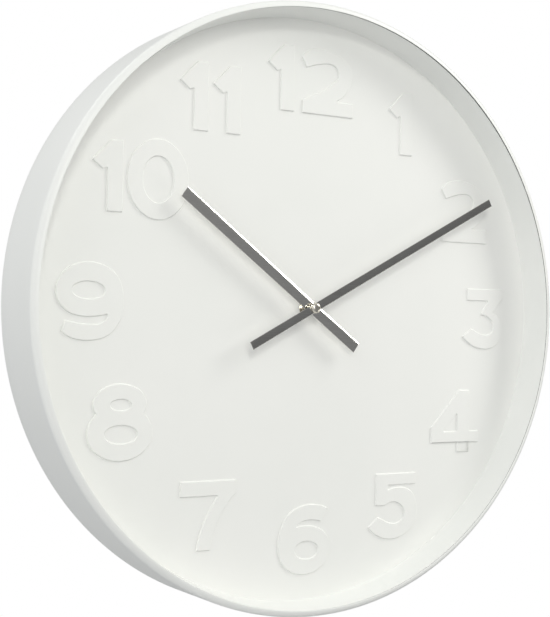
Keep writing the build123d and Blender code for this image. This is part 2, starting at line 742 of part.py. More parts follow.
with BuildPart() as bush_nut:
    with BuildSketch(front_plane(nut_back)):
        RegularPolygon(nut_corner_radius, 6)
        Circle(bush_radius + press_clearance, mode=Mode.SUBTRACT)
    extrude(amount=nut_height)
    chamfer(bush_nut.faces().sort_by(Axis.Y)[0].outer_wire().edges(), nut_chamfer)
bush_nut.part.label = "bush_nut"
export_step(bush_nut.part, "parts/bush_nut.step")

# Hour wheel with its pipe, which runs through the bush
with BuildPart() as hour_wheel:
    with BuildSketch(front_plane(hour_wheel_back)):
        Polygon(*gear_points(hour_wheel_teeth, hour_module, hour_wheel_first_tooth), align=None)
    extrude(amount=hour_wheel_thickness)
    round_bar(hour_pipe_radius, hour_wheel_back, hour_hand_front)
    round_bar(minute_bore_radius, hour_wheel_back - cut_overrun, hour_hand_front + cut_overrun,
              mode=Mode.SUBTRACT)
hour_wheel.part.label = "hour_wheel"
export_step(hour_wheel.part, "parts/hour_wheel.step")

# Hour hand: a flat bar held on the pipe by a collet
with BuildPart() as hour_hand:
    with BuildSketch(hand_plane(hour_hand_back, hour_hand_clock_angle)):
        Rectangle(hour_hand_width, hour_hand_length, align=(Align.CENTER, Align.MIN))
        Rectangle(hour_hand_width, hour_hand_tail, align=(Align.CENTER, Align.MAX))
        Circle(hour_neck_radius + press_clearance, mode=Mode.SUBTRACT)
    extrude(amount=hand_thickness)
    chamfer(hour_hand.faces().sort_by(Axis.Y)[0].outer_wire().edges(), hand_edge_chamfer)
hour_hand.part.label = "hour_hand"
export_step(hour_hand.part, "parts/hour_hand.step")

hour_collet_back = hour_hand_back - hour_collet_length
with BuildPart() as hour_hand_collet:
    round_bar(hour_collet_radius, hour_collet_back, hour_hand_back)
    round_bar(hour_neck_radius, hour_hand_back, hour_hand_front)
    round_bar(hour_collet_bore, hour_collet_back - cut_overrun, hour_hand_front + cut_overrun,
              mode=Mode.SUBTRACT)
hour_hand_collet.part.label = "hour_hand_collet"
export_step(hour_hand_collet.part, "parts/hour_hand_collet.step")

# Minute arbor with its cannon pinion
cap_front = minute_hand_front + cap_height
tip_front = minute_hand_front + cap_bore_depth - pivot_end_play
with BuildPart() as minute_arbor:
    with BuildSketch(front_plane(minute_wheel_back - pinion_overhang)):
        Polygon(*gear_points(cannon_teeth, motion_module, cannon_first_tooth), align=None)
    extrude(amount=wheel_thickness + 2 * pinion_overhang)
    round_bar(minute_arbor_radius, centre_wheel_front, minute_hand_back)
    round_bar(minute_tip_radius, minute_hand_back, tip_front)
    round_bar(back_arbor_radius, arbor_back, centre_wheel_front)
    round_bar(pivot_radius, back_inner - pivot_depth + pivot_end_play, arbor_back)
minute_arbor.part.label = "minute_arbor"
export_step(minute_arbor.part, "parts/minute_arbor.step")

# Centre wheel: pressed on the back of the minute arbor
with BuildPart() as centre_wheel:
    with BuildSketch(front_plane(centre_wheel_back)):
        Polygon(*gear_points(centre_wheel_teeth, centre_module, third_wheel_direction), align=None)
        Circle(back_arbor_radius + press_clearance, mode=Mode.SUBTRACT)
    extrude(amount=wheel_thickness)
centre_wheel.part.label = "centre_wheel"
export_step(centre_wheel.part, "parts/centre_wheel.step")

# Minute hand, its collet and the cap that holds it on the arbor
with BuildPart() as minute_hand:
    with BuildSketch(hand_plane(minute_hand_back, minute_hand_clock_angle)):
        Rectangle(minute_hand_width, minute_hand_length, align=(Align.CENTER, Align.MIN))
        Rectangle(minute_hand_width, minute_hand_tail, align=(Align.CENTER, Align.MAX))
        Circle(tip_bore_radius, mode=Mode.SUBTRACT)
    extrude(amount=hand_thickness)
    chamfer(minute_hand.faces().sort_by(Axis.Y)[0].outer_wire().edges(), hand_edge_chamfer)
minute_hand.part.label = "minute_hand"
export_step(minute_hand.part, "parts/minute_hand.step")

with BuildPart() as minute_hand_collet:
    round_bar(minute_collet_radius, minute_hand_back - minute_collet_length, minute_hand_back)
    round_bar(minute_collet_bore, minute_hand_back - minute_collet_length - cut_overrun,
              minute_hand_back + cut_overrun, mode=Mode.SUBTRACT)
minute_hand_collet.part.label = "minute_hand_collet"
export_step(minute_hand_collet.part, "parts/minute_hand_collet.step")

with BuildPart() as hand_cap:
    round_bar(cap_radius, minute_hand_front, cap_front)
    fillet(hand_cap.faces().sort_by(Axis.Y)[0].edges(), cap_edge_fillet)
    round_bar(tip_bore_radius, minute_hand_front - cut_overrun, minute_hand_front + cap_bore_depth,
              mode=Mode.SUBTRACT)
hand_cap.part.label = "hand_cap"
export_step(hand_cap.part, "parts/hand_cap.step")

# Minute wheel: the reversing wheel between cannon pinion and hour wheel
with BuildPart() as minute_wheel:
    with BuildSketch(front_plane(minute_wheel_back, minute_wheel_place)):
        Polygon(*gear_points(minute_wheel_teeth, motion_module, minute_wheel_first_tooth), align=None)
    extrude(amount=wheel_thickness)
    with BuildSketch(front_plane(minute_wheel_front, minute_wheel_place)):
        Polygon(*gear_points(minute_pinion_teeth, hour_module, minute_wheel_first_tooth), align=None)
    extrude(amount=train_front - pivot_end_play - minute_wheel_front)
    round_bar(pivot_radius, plate_back, train_front + pivot_depth - pivot_end_play, minute_wheel_place)
    round_bar(arbor_radius, plate_front + pivot_end_play, minute_wheel_back, minute_wheel_place)
minute_wheel.part.label = "minute_wheel"
export_step(minute_wheel.part, "parts/minute_wheel.step")

# Setting knob on the back, with the pinion that turns the minute wheel
knob_front = movement_rear - knob_gap
knob_back = knob_front - knob_height
with BuildPart() as set_knob:
    with BuildSketch(front_plane(minute_wheel_back - pinion_overhang, knob_place)):
        Polygon(*gear_points(knob_teeth, motion_module, knob_first_tooth), align=None)
    extrude(amount=wheel_thickness + 2 * pinion_overhang)
    round_bar(knob_shaft_radius, knob_front, minute_wheel_back, knob_place)
    round_bar(arbor_radius, minute_wheel_back, train_front - pivot_end_play, knob_place)
    round_bar(pivot_radius, minute_wheel_back, train_front + pivot_depth - pivot_end_play, knob_place)
    with BuildSketch(front_plane(knob_back, knob_place)):
        Circle(knob_radius)
        with PolarLocations(knob_radius, knob_rib_count):
            Circle(knob_rib_depth, mode=Mode.SUBTRACT)
    extrude(amount=knob_height)
set_knob.part.label = "set_knob"
export_step(set_knob.part, "parts/set_knob.step")

# Third wheel: its pinion takes the drive to the centre wheel
with BuildPart() as third_wheel:
    with BuildSketch(front_plane(third_wheel_back, third_place)):
        Polygon(*gear_points(third_wheel_teeth, third_module, second_wheel_direction), align=None)
    extrude(amount=wheel_thickness)
    with BuildSketch(front_plane(third_wheel_front, third_place)):
        Polygon(*gear_points(third_pinion_teeth, centre_module,
                             meshing_tooth(third_wheel_direction, third_pinion_teeth)), align=None)
    extrude(amount=centre_wheel_front + pinion_overhang - third_wheel_front)
    round_bar(arbor_radius, arbor_back, arbor_front, third_place)
    round_bar(pivot_radius, back_inner - pivot_depth + pivot_end_play, plate_front, third_place)
third_wheel.part.label = "third_wheel"
export_step(third_wheel.part, "parts/third_wheel.step")

# Second wheel: one turn a minute
with BuildPart() as second_wheel:
    with BuildSketch(front_plane(second_wheel_back, second_place)):
        Polygon(*gear_points(second_wheel_teeth, second_module, intermediate_wheel_direction), align=None)
    extrude(amount=wheel_thickness)
    with BuildSketch(front_plane(second_wheel_front, second_place)):
        Polygon(*gear_points(second_pinion_teeth, third_module,
                             meshing_tooth(second_wheel_direction, second_pinion_teeth)), align=None)
    extrude(amount=third_wheel_front + pinion_overhang - second_wheel_front)
    round_bar(arbor_radius, arbor_back, arbor_front, second_place)
    round_bar(pivot_radius, back_inner - pivot_depth + pivot_end_play, plate_front, second_place)
second_wheel.part.label = "second_wheel"
export_step(second_wheel.part, "parts/second_wheel.step")

# Intermediate wheel between the motor and the second wheel
with BuildPart() as intermediate_wheel:
    with BuildSketch(front_plane(intermediate_wheel_back, intermediate_place)):
        Polygon(*gear_points(intermediate_wheel_teeth, rotor_module, rotor_direction), align=None)
    extrude(amount=wheel_thickness)
    with BuildSketch(front_plane(intermediate_wheel_front, intermediate_place)):
        Polygon(*gear_points(intermediate_pinion_teeth, second_module, intermediate_first_tooth),
                align=None)
    extrude(amount=second_wheel_front + pinion_overhang - intermediate_wheel_front)
    round_bar(arbor_radius, arbor_back, arbor_front, intermediate_place)
    round_bar(pivot_radius, back_inner - pivot_depth + pivot_end_play, plate_front, intermediate_place)
intermediate_wheel.part.label = "intermediate_wheel"
export_step(intermediate_wheel.part, "parts/intermediate_wheel.step")

# Rotor: a pinion on an arbor that carries the magnet
magnet_back = arbor_front - magnet_height
with BuildPart() as rotor:
    with BuildSketch(front_plane(intermediate_wheel_back - pinion_overhang, rotor_place)):
        Polygon(*gear_points(rotor_pinion_teeth, rotor_module,
                             meshing_tooth(rotor_direction, rotor_pinion_teeth)), align=None)
    extrude(amount=wheel_thickness + 2 * pinion_overhang)
    round_bar(pivot_radius, back_inner - pivot_depth + pivot_end_play, plate_front, rotor_place)
rotor.part.label = "rotor"
export_step(rotor.part, "parts/rotor.step")

with BuildPart() as rotor_magnet:
    round_bar(magnet_radius, magnet_back, arbor_front, rotor_place)
    round_bar(pivot_radius + press_clearance, magnet_back - cut_overrun, arbor_front + cut_overrun,
              rotor_place, Mode.SUBTRACT)
rotor_magnet.part.label = "rotor_magnet"
export_step(rotor_magnet.part, "parts/rotor_magnet.step")

# Stator: a flat iron loop from the rotor to both ends of the coil core
stator_back = plate_back - stator_thickness
core_length = coil_length + 2 * core_overhang
core_left = coil_offset_x - core_length / 2
core_right = coil_offset_x + core_length / 2
arm_middle_z = coil_offset_z - stator_arm_drop
stator_hole_radius = magnet_radius + magnet_clearance
with BuildPart() as stator:
    with BuildSketch(front_plane(stator_back)):
        with Locations(rotor_place):
            Circle(stator_hole_radius + stator_ring_width)
        with Locations((rotor_place[0], coil_offset_z)):
            Rectangle(core_left + core_overhang - core_clearance - rotor_place[0], core_width,
                      align=(Align.MIN, Align.CENTER))
        with Locations((rotor_place[0], arm_middle_z)):
            Rectangle(core_right - rotor_place[0], stator_arm_width, align=(Align.MIN, Align.CENTER))
            Rectangle(stator_arm_width, rotor_place[1] - arm_middle_z, align=(Align.CENTER, Align.MIN))
        with Locations((core_right, arm_middle_z - stator_arm_width / 2)):
            Rectangle(core_overhang - core_clearance,
                      stator_arm_drop + stator_arm_width / 2 + core_width / 2, align=(Align.MAX, Align.MIN))
        with Locations(rotor_place):
            Circle(stator_hole_radius, mode=Mode.SUBTRACT)
    extrude(amount=stator_thickness)
stator.part.label = "stator"
export_step(stator.part, "parts/stator.step")

# Coil: an iron core through a bobbin with its winding
core_back = stator_back - core_thickness
core_middle = stator_back - core_thickness / 2
with BuildPart() as coil_core:
    block(core_length, core_width, core_back, stator_back, coil_place)
coil_core.part.label = "coil_core"
export_step(coil_core.part, "parts/coil_core.step")

coil_plane = Plane(origin=(coil_offset_x, -core_middle, coil_offset_z), x_dir=(0, 0, 1), z_dir=(1, 0, 0))
flange_shift = (coil_length - bobbin_flange_thickness) / 2
with BuildPart() as coil_bobbin:
    with BuildSketch(coil_plane):
        Circle(bobbin_tube_radius)
    extrude(amount=coil_length / 2, both=True)
    with BuildSketch(coil_plane.offset(flange_shift), coil_plane.offset(-flange_shift)):
        Circle(coil_radius)
    extrude(amount=bobbin_flange_thickness / 2, both=True)
    with BuildSketch(coil_plane):
        Rectangle(core_width + 2 * core_clearance, core_thickness + 2 * core_clearance)
    extrude(amount=coil_length, both=True, mode=Mode.SUBTRACT)
coil_bobbin.part.label = "coil_bobbin"
export_step(coil_bobbin.part, "parts/coil_bobbin.step")

winding_half_length = coil_length / 2 - bobbin_flange_thickness - winding_clearance
with BuildPart() as coil_winding:
    with BuildSketch(coil_plane):
        Circle(coil_radius - winding_clearance)
        Circle(bobbin_tube_radius + press_clearance, mode=Mode.SUBTRACT)
    extrude(amount=winding_half_length, both=True)
coil_winding.part.label = "coil_winding"
export_step(coil_winding.part, "parts/coil_winding.step")

# Circuit board on the movement's back, with its chip and crystal
with BuildPart() as circuit_board:
    block(board_width, board_height, board_front - board_thickness, board_front, board_middle)
circuit_board.part.label = "circuit_board"
export_step(circuit_board.part, "parts/circuit_board.step")

chip_place = (board_offset_x + chip_offset_x, board_offset_z + chip_offset_z)
with BuildPart() as clock_chip:
    block(chip_width, chip_width, board_front, board_front + chip_height, chip_place)
clock_chip.part.label = "clock_chip"
export_step(clock_chip.part, "parts/clock_chip.step")

crystal_plane = Plane(
    origin=(board_offset_x, -(board_front + crystal_radius), board_offset_z + crystal_offset_z),
    x_dir=(0, 0, 1),
    z_dir=(1, 0, 0),
)
with BuildPart() as quartz_crystal:
    with BuildSketch(crystal_plane):
        Circle(crystal_radius)
    extrude(amount=crystal_length / 2, both=True)
    block(crystal_length, crystal_seat_width, board_front, board_front + crystal_radius,
          (board_offset_x, board_offset_z + crystal_offset_z))
quartz_crystal.part.label = "quartz_crystal"
export_step(quartz_crystal.part, "parts/quartz_crystal.step")

# Battery in its bay, plus end to the right
battery_height = train_front - battery_radius - battery_side_clearance
battery_right = inner_half - contact_wall_gap - contact_thickness
battery_left = battery_right - battery_nub_length - battery_length
battery_end = (battery_left, -battery_height, battery_place_z)
battery_plane = Plane(origin=battery_end, x_dir=(0, 0, 1), z_dir=(1, 0, 0))
with BuildPart() as battery:
    with BuildSketch(battery_plane):
        Circle(battery_radius)
    extrude(amount=battery_length)
    fillet(battery.edges().filter_by(GeomType.CIRCLE), battery_edge_fillet)
    with BuildSketch(battery_plane.offset(battery_length)):
        Circle(battery_nub_radius)
    extrude(amount=battery_nub_length)
battery.part.label = "battery"
export_step(battery.part, "parts/battery.step")

contact_near = battery_height - contact_width / 2
contact_far = battery_height + contact_width / 2
with BuildPart() as positive_contact:
    block(contact_thickness, contact_width, contact_near, contact_far,
          (battery_right + contact_thickness / 2, battery_place_z))
positive_contact.part.label = "positive_contact"
export_step(positive_contact.part, "parts/positive_contact.step")

# The minus contact is a bent leaf between the end wall and the battery
leaf_wall_x = contact_wall_gap - inner_half
leaf_reach = contact_width / 2
leaf_flat = leaf_flat_width / 2
with BuildPart() as negative_contact:
    with BuildSketch(front_plane(contact_near, (0, battery_place_z))):
        Polygon(
            (leaf_wall_x, leaf_reach),
            (battery_left, leaf_flat),
            (battery_left, -leaf_flat),
            (leaf_wall_x, -leaf_reach),
            (leaf_wall_x, contact_thickness - leaf_reach),
            (battery_left - contact_thickness, -leaf_flat),
            (battery_left - contact_thickness, leaf_flat),
            (leaf_wall_x, leaf_reach - contact_thickness),
            align=None,
        )
    extrude(amount=contact_width)
negative_contact.part.label = "negative_contact"
export_step(negative_contact.part, "parts/negative_contact.step")
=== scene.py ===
import bpy
import bmesh
import json
from math import atan2, cos, degrees, pi, radians, sin, tan
from mathutils import Matrix, Vector
from mathutils.geometry import tessellate_polygon


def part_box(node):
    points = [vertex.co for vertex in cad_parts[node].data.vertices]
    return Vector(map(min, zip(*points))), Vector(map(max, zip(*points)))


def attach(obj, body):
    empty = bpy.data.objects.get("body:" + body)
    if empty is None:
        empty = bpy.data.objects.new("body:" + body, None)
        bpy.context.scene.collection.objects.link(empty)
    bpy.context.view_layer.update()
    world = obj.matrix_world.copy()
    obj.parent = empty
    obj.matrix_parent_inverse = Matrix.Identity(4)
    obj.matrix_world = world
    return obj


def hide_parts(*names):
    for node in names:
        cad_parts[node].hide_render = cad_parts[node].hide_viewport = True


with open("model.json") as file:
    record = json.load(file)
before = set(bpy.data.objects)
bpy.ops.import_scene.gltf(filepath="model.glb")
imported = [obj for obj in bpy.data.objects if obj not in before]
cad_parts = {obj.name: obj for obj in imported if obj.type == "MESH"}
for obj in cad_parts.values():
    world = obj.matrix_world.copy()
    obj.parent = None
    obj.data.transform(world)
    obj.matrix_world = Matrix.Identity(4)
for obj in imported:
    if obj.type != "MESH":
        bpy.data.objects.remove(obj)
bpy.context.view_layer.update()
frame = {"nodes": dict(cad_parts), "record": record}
cadNodes = frame["nodes"]
mm = 0.001
near = 0.01 * mm  # points closer than this are one point
tiny = 1e-7  # a length below this has no direction
print("frame loaded with", len(cadNodes), "nodes")

# material building blocks: every finish starts from object coordinates, so the grain keeps its real scale
noiseSpread = (0.3, 0.7)  # most of a noise's values lie between these


def objectCoords(tree):
    return tree.nodes.new("ShaderNodeTexCoord").outputs["Object"]


def startFinish(name):
    mat = bpy.data.materials.new(name)
    mat.use_nodes = True
    tree = mat.node_tree
    return mat, tree, tree.nodes["Principled BSDF"], objectCoords(tree)


def splitCoords(tree, source):
    split = tree.nodes.new("ShaderNodeSeparateXYZ")
    tree.links.new(source, split.inputs[0])
    return split.outputs


# each of the values is a socket to link or a plain number to set
def combine(tree, kind, operation, values):
    node = tree.nodes.new(kind)
    node.operation = operation
    for socket, value in zip(node.inputs, values):
        if isinstance(value, bpy.types.NodeSocket):
            tree.links.new(value, socket)
        else:
            socket.default_value = value
    return node.outputs


def addMath(tree, operation, *values):
    return combine(tree, "ShaderNodeMath", operation, values)[0]


def stretchCoords(tree, source, scale, turn):
    mapping = tree.nodes.new("ShaderNodeMapping")
    mapping.inputs["Scale"].default_value = scale
    mapping.inputs["Rotation"].default_value = turn
    tree.links.new(source, mapping.inputs["Vector"])
    return mapping.outputs["Vector"]


def addNoise(tree, source, scale, detail=4.0, rough=0.55):
    noise = tree.nodes.new("ShaderNodeTexNoise")
    noise.inputs["Scale"].default_value = scale
    noise.inputs["Detail"].default_value = detail
    noise.inputs["Roughness"].default_value = rough
    tree.links.new(source, noise.inputs["Vector"])
    return noise.outputs["Fac"]


def addRamp(tree, source, dark, light, spread=noiseSpread):
    ramp = tree.nodes.new("ShaderNodeValToRGB")
    for element, place, colour in zip(ramp.color_ramp.elements, spread, (dark, light)):
        element.position = place
        element.color = (*colour, 1.0)
    tree.links.new(source, ramp.inputs["Fac"])
    return ramp.outputs["Color"]


def addRange(tree, source, low, high):
    span = tree.nodes.new("ShaderNodeMapRange")
    span.inputs["From Min"].default_value = noiseSpread[0]
    span.inputs["From Max"].default_value = noiseSpread[1]
    span.inputs["To Min"].default_value = low
    span.inputs["To Max"].default_value = high
    tree.links.new(source, span.inputs["Value"])
    return span.outputs["Result"]


def addBump(tree, source, depth, before=None):
    bump = tree.nodes.new("ShaderNodeBump")
    bump.inputs["Strength"].default_value = 1.0
    bump.inputs["Distance"].default_value = depth
    tree.links.new(source, bump.inputs["Height"])
    if before is not None:
        tree.links.new(before, bump.inputs["Normal"])
    return bump.outputs["Normal"]


# starts the second tone of a finish and returns the socket that takes its colour
def coverWhere(tree, mask):
    base = tree.nodes["Principled BSDF"].inputs["Base Color"]
    mix = tree.nodes.new("ShaderNodeMix")
    mix.data_type = "RGBA"
    tree.links.new(mask, mix.inputs["Factor"])
    tree.links.new(base.links[0].from_socket, mix.inputs["A"])
    tree.links.new(mix.outputs["Result"], base)
    return mix.inputs["B"]


# sprayed or moulded white: slow drift of tone, orange peel and a fine grain
coatNoise = dict(drift=dict(scale=7.0, detail=3.0), peel=dict(detail=2.0, rough=0.4),
                 grain=dict(detail=5.0, rough=0.6))


def coatedFinish(name, dark, light, roughLow, roughHigh, peelScale, peelDepth, grainScale, grainDepth,
                 specular=0.5):
    mat, tree, shader, here = startFinish(name)
    drift = addNoise(tree, here, **coatNoise["drift"])
    peel = addNoise(tree, here, peelScale, **coatNoise["peel"])
    grain = addNoise(tree, here, grainScale, **coatNoise["grain"])
    tree.links.new(addRamp(tree, drift, dark, light), shader.inputs["Base Color"])
    tree.links.new(addRange(tree, grain, roughLow, roughHigh), shader.inputs["Roughness"])
    soft = addBump(tree, peel, peelDepth)
    tree.links.new(addBump(tree, grain, grainDepth, soft), shader.inputs["Normal"])
    shader.inputs["Specular IOR Level"].default_value = specular
    return mat


# metal with drawn or turned lines: noise pulled out along one direction, over stains
metalNoise = dict(lines=dict(scale=1.0, rough=0.6), stain=dict(scale=60.0), lineShare=0.55,
                  spread=(0.32, 0.68))


def lineMetal(name, dark, light, roughLow, roughHigh, lineScale, lineDepth, turn=(0, 0, 0)):
    mat, tree, shader, here = startFinish(name)
    lines = addNoise(tree, stretchCoords(tree, here, lineScale, turn), **metalNoise["lines"])
    stain = addNoise(tree, here, **metalNoise["stain"])
    stainPart = addMath(tree, "MULTIPLY", stain, 1 - metalNoise["lineShare"])
    tone = addMath(tree, "MULTIPLY_ADD", lines, metalNoise["lineShare"], stainPart)
    tree.links.new(addRamp(tree, tone, dark, light, metalNoise["spread"]), shader.inputs["Base Color"])
    tree.links.new(addRange(tree, tone, roughHigh, roughLow), shader.inputs["Roughness"])
    tree.links.new(addBump(tree, lines, lineDepth), shader.inputs["Normal"])
    shader.inputs["Metallic"].default_value = 1.0
    return mat


# moulded plastic with a spark-eroded grain
mouldedCloud = 45.0


def mouldedFinish(name, dark, light, roughLow, roughHigh, grainScale=1500.0, grainDepth=0.03 * mm):
    mat, tree, shader, here = startFinish(name)
    cloud = addNoise(tree, here, mouldedCloud)
    cells = tree.nodes.new("ShaderNodeTexVoronoi")
    cells.inputs["Scale"].default_value = grainScale
    tree.links.new(here, cells.inputs["Vector"])
    tree.links.new(addRamp(tree, cloud, dark, light), shader.inputs["Base Color"])
    tree.links.new(addRange(tree, cloud, roughLow, roughHigh), shader.inputs["Roughness"])
    tree.links.new(addBump(tree, cells.outputs["Distance"], grainDepth), shader.inputs["Normal"])
    return mat


# polished hands: one metal in two copies, the hour hand's lighter, as painted reflection of the brighter
# light it shows
handFinish = dict(lineScale=(60, 2500, 2500), roughLow=0.1, roughHigh=0.18, lineDepth=0.001 * mm)
handLitTones = dict(hour_hand=dict(dark=(0.655, 0.642, 0.614), light=(0.822, 0.81, 0.778)),
                 minute_hand=dict(dark=(0.474, 0.465, 0.445), light=(0.596, 0.587, 0.564)))
handEnd = 0.5 * mm  # corners this close to the farthest one make up the hand's end


# which way a hand points on the dial, from the corners of its far end
def handAlong(node):
    points = [Vector((v.co.x, v.co.z)) for v in cadNodes[node].data.vertices]
    reach = max(p.length for p in points)
    return sum((p for p in points if p.length > reach - handEnd), Vector((0, 0))).normalized()


# the grain runs along the hand
def handMetal(name, node):
    along = handAlong(node)
    return lineMetal(name, turn=(0, atan2(along.y, along.x), 0), **handLitTones[node], **handFinish)


# plain battery wrap: printed film in two tones, the band at the end that touches the positive contact
batteryWrap = dict(body=dict(dark=(0.30, 0.32, 0.34), light=(0.38, 0.40, 0.42), roughLow=0.22,
                             roughHigh=0.34, grainScale=3000.0, grainDepth=0.004 * mm),
                   band=dict(dark=(0.09, 0.12, 0.17), light=(0.13, 0.17, 0.23)),
                   bandShare=0.24, filmScale=160.0)


def batteryFinish(name, body, band, bandShare, filmScale):
    mat = mouldedFinish(name, **body)
    tree = mat.node_tree
    here = objectCoords(tree)
    low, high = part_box("battery")
    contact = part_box("positive_contact")
    bandWidth = (high.x - low.x) * bandShare
    along = splitCoords(tree, here)["X"]
    if contact[0].x + contact[1].x > low.x + high.x:
        mask = addMath(tree, "GREATER_THAN", along, high.x - bandWidth)
    else:
        mask = addMath(tree, "LESS_THAN", along, low.x + bandWidth)
    film = addRamp(tree, addNoise(tree, here, filmScale), **band)
    tree.links.new(film, coverWhere(tree, mask))
    return mat


coats = {
    "rim_paint": dict(name="rimEnamel", dark=(0.835, 0.845, 0.825), light=(0.865, 0.87, 0.85),
                      roughLow=0.36, roughHigh=0.46, peelScale=420.0, peelDepth=0.02 * mm,
                      grainScale=2600.0, grainDepth=0.004 * mm),
    "dial_paint": dict(name="dialEnamel", dark=(0.845, 0.85, 0.825), light=(0.87, 0.87, 0.848),
                       roughLow=0.48, roughHigh=0.6, peelScale=260.0, peelDepth=0.012 * mm,
                       grainScale=3200.0, grainDepth=0.004 * mm),
    "cover_plastic": dict(name="coverPlastic", dark=(0.70, 0.70, 0.675), light=(0.77, 0.77, 0.745),
                          roughLow=0.5, roughHigh=0.65, peelScale=900.0, peelDepth=0.03 * mm,
                          grainScale=3000.0, grainDepth=0.01 * mm, specular=0.4),
}
metals = {
    "zinc_steel": dict(name="zincSteel", dark=(0.44, 0.45, 0.46), light=(0.66, 0.67, 0.69), roughLow=0.3,
                       roughHigh=0.48, lineScale=(300, 300, 2200), lineDepth=0.006 * mm, turn=(0, 0.3, 0)),
    "plated_brass": dict(name="platedBrass", dark=(0.60, 0.56, 0.48), light=(0.80, 0.77, 0.70),
                         roughLow=0.14, roughHigh=0.28, lineScale=(500, 3000, 500), lineDepth=0.003 * mm),
    "arbor_steel": dict(name="arborSteel", dark=(0.5, 0.5, 0.51), light=(0.72, 0.72, 0.73), roughLow=0.16,
                        roughHigh=0.3, lineScale=(500, 4000, 500), lineDepth=0.003 * mm),
    "motor_iron": dict(name="motorIron", dark=(0.33, 0.33, 0.33), light=(0.5, 0.5, 0.5), roughLow=0.3,
                       roughHigh=0.5, lineScale=(2000, 300, 300), lineDepth=0.005 * mm),
    "copper_wire": dict(name="copperWire", dark=(0.42, 0.16, 0.06), light=(0.72, 0.33, 0.15), roughLow=0.2,
                        roughHigh=0.35, lineScale=(5000, 200, 200), lineDepth=0.03 * mm),
    "crystal_can": dict(name="crystalCan", dark=(0.58, 0.58, 0.6), light=(0.78, 0.78, 0.8), roughLow=0.14,
                        roughHigh=0.26, lineScale=(300, 3000, 3000), lineDepth=0.002 * mm),
    "contact_steel": dict(name="contactSteel", dark=(0.6, 0.58, 0.54), light=(0.78, 0.76, 0.72),
                          roughLow=0.18, roughHigh=0.3, lineScale=(300, 300, 2500), lineDepth=0.003 * mm),
}
mouldings = {
    "gasket_rubber": dict(name="gasketRubber", dark=(0.018, 0.018, 0.018), light=(0.035, 0.035, 0.034),
                          roughLow=0.75, roughHigh=0.9),
    "movement_plastic": dict(name="movementPlastic", dark=(0.02, 0.02, 0.021), light=(0.034, 0.034, 0.036),
                             roughLow=0.42, roughHigh=0.58),
    "wheel_plastic": dict(name="wheelAcetal", dark=(0.72, 0.71, 0.64), light=(0.82, 0.81, 0.75),
                          roughLow=0.3, roughHigh=0.42, grainScale=2500.0, grainDepth=0.008 * mm),
    "knob_plastic": dict(name="knobPlastic", dark=(0.58, 0.58, 0.56), light=(0.68, 0.68, 0.66),
                         roughLow=0.4, roughHigh=0.55),
    "magnet": dict(name="sinteredMagnet", dark=(0.06, 0.06, 0.065), light=(0.12, 0.12, 0.125),
                   roughLow=0.4, roughHigh=0.6, grainScale=4000.0),
    "board": dict(name="circuitBoard", dark=(0.02, 0.10, 0.04), light=(0.04, 0.17, 0.07),
                  roughLow=0.35, roughHigh=0.5, grainScale=3000.0, grainDepth=0.01 * mm),
    "chip": dict(name="chipResin", dark=(0.012, 0.012, 0.012), light=(0.025, 0.025, 0.025),
                 roughLow=0.5, roughHigh=0.65, grainScale=5000.0, grainDepth=0.01 * mm),
}
finishes = {}
for makeFinish, recipes in ((coatedFinish, coats), (lineMetal, metals), (mouldedFinish, mouldings)):
    finishes.update({slotName: makeFinish(**values) for slotName, values in recipes.items()})
finishes["hand_metal"] = handMetal("handMetal", "minute_hand")
finishes["battery_wrap"] = batteryFinish("batteryWrap", **batteryWrap)
print("finishes made:", len(finishes))

# each CAD node takes the finish of its slot, and the hour hand its own grain and a lighter copy of the
# metal, as painted reflection
slotOf = {part["node"]: part["material_slot"] for part in frame["record"]["subparts"]}
ownFinishes = dict(hour_hand=handMetal("hourHandLitMetal", "hour_hand"))
for nodeName, cadPiece in cadNodes.items():
    finish = ownFinishes.get(nodeName, finishes[slotOf[nodeName]])
    if cadPiece.data.materials:
        for materialSlot in cadPiece.material_slots:
            materialSlot.material = finish
    else:
        cadPiece.data.materials.append(finish)
print("CAD nodes dressed")


# smooth mesh with sharp edges where its faces meet at more than the angle
def keepMesh(name, bm, slotName, sharpAngle):
    mesh = bpy.data.meshes.new(name)
    bm.to_mesh(mesh)
    bm.free()
    for face in mesh.polygons:
        face.use_smooth = True
    mesh.set_sharp_from_angle(angle=radians(sharpAngle))
    piece = bpy.data.objects.new(name, mesh)
    bpy.context.scene.collection.objects.link(piece)
    mesh.materials.append(finishes[slotName])
    return piece


# joins two closed rings of as many points with a band of faces
def addBand(bm, here, there):
    count = len(here)
    for k in range(count):
        n = (k + 1) % count
        bm.faces.new((here[k], here[n], there[n], there[k]))


# turns a closed profile of (radius, y) points about the clock's axis
def turnProfile(bm, profile, segments):
    rings = []
    for step in range(segments):
        angle = 2 * pi * step / segments
        rings.append([bm.verts.new((r * cos(angle), y, r * sin(angle))) for r, y in profile])
    for step in range(segments):
        addBand(bm, rings[step], rings[(step + 1) % segments])


def arcPoints(middle, radius, start, end, steps):
    turns = [radians(start + (end - start) * k / steps) for k in range(steps + 1)]
    return [(middle[0] + radius * cos(a), middle[1] + radius * sin(a)) for a in turns]


# rim: rear flange, straight outer wall, quarter-round lip, thin seam at its inner edge, drafted inner wall
rimShape = dict(lipRadius=5.8 * mm, lipEnd=-86.0, lipSteps=22,
                edgeRound=0.3 * mm, edgeStart=-95.0, edgeSteps=5, wallDraft=3.5 * mm,
                sheet=1.0 * mm, sheetStart=-78.0, sheetSteps=10, rearRound=1.4 * mm, rearSteps=6,
                flangeWidth=7.0 * mm, outerSpans=5, innerSpans=4, segments=384, sharpAngle=40.0)
# the photo's seam is widest at one angle, at the upper right, and closes away from there
# painted shade: the seam's inside is coloured near black, standing in for the shadow in the groove
seamShape = dict(drop=0.45 * mm, width=0.4 * mm, depth=0.6 * mm, grow=0.9 * mm, angle=32.0, closing=4,
                 shadeInset=0.08 * mm, shadePast=0.1 * mm, shadeBehind=0.3 * mm,
                 colour=(0.03, 0.03, 0.03, 1.0))
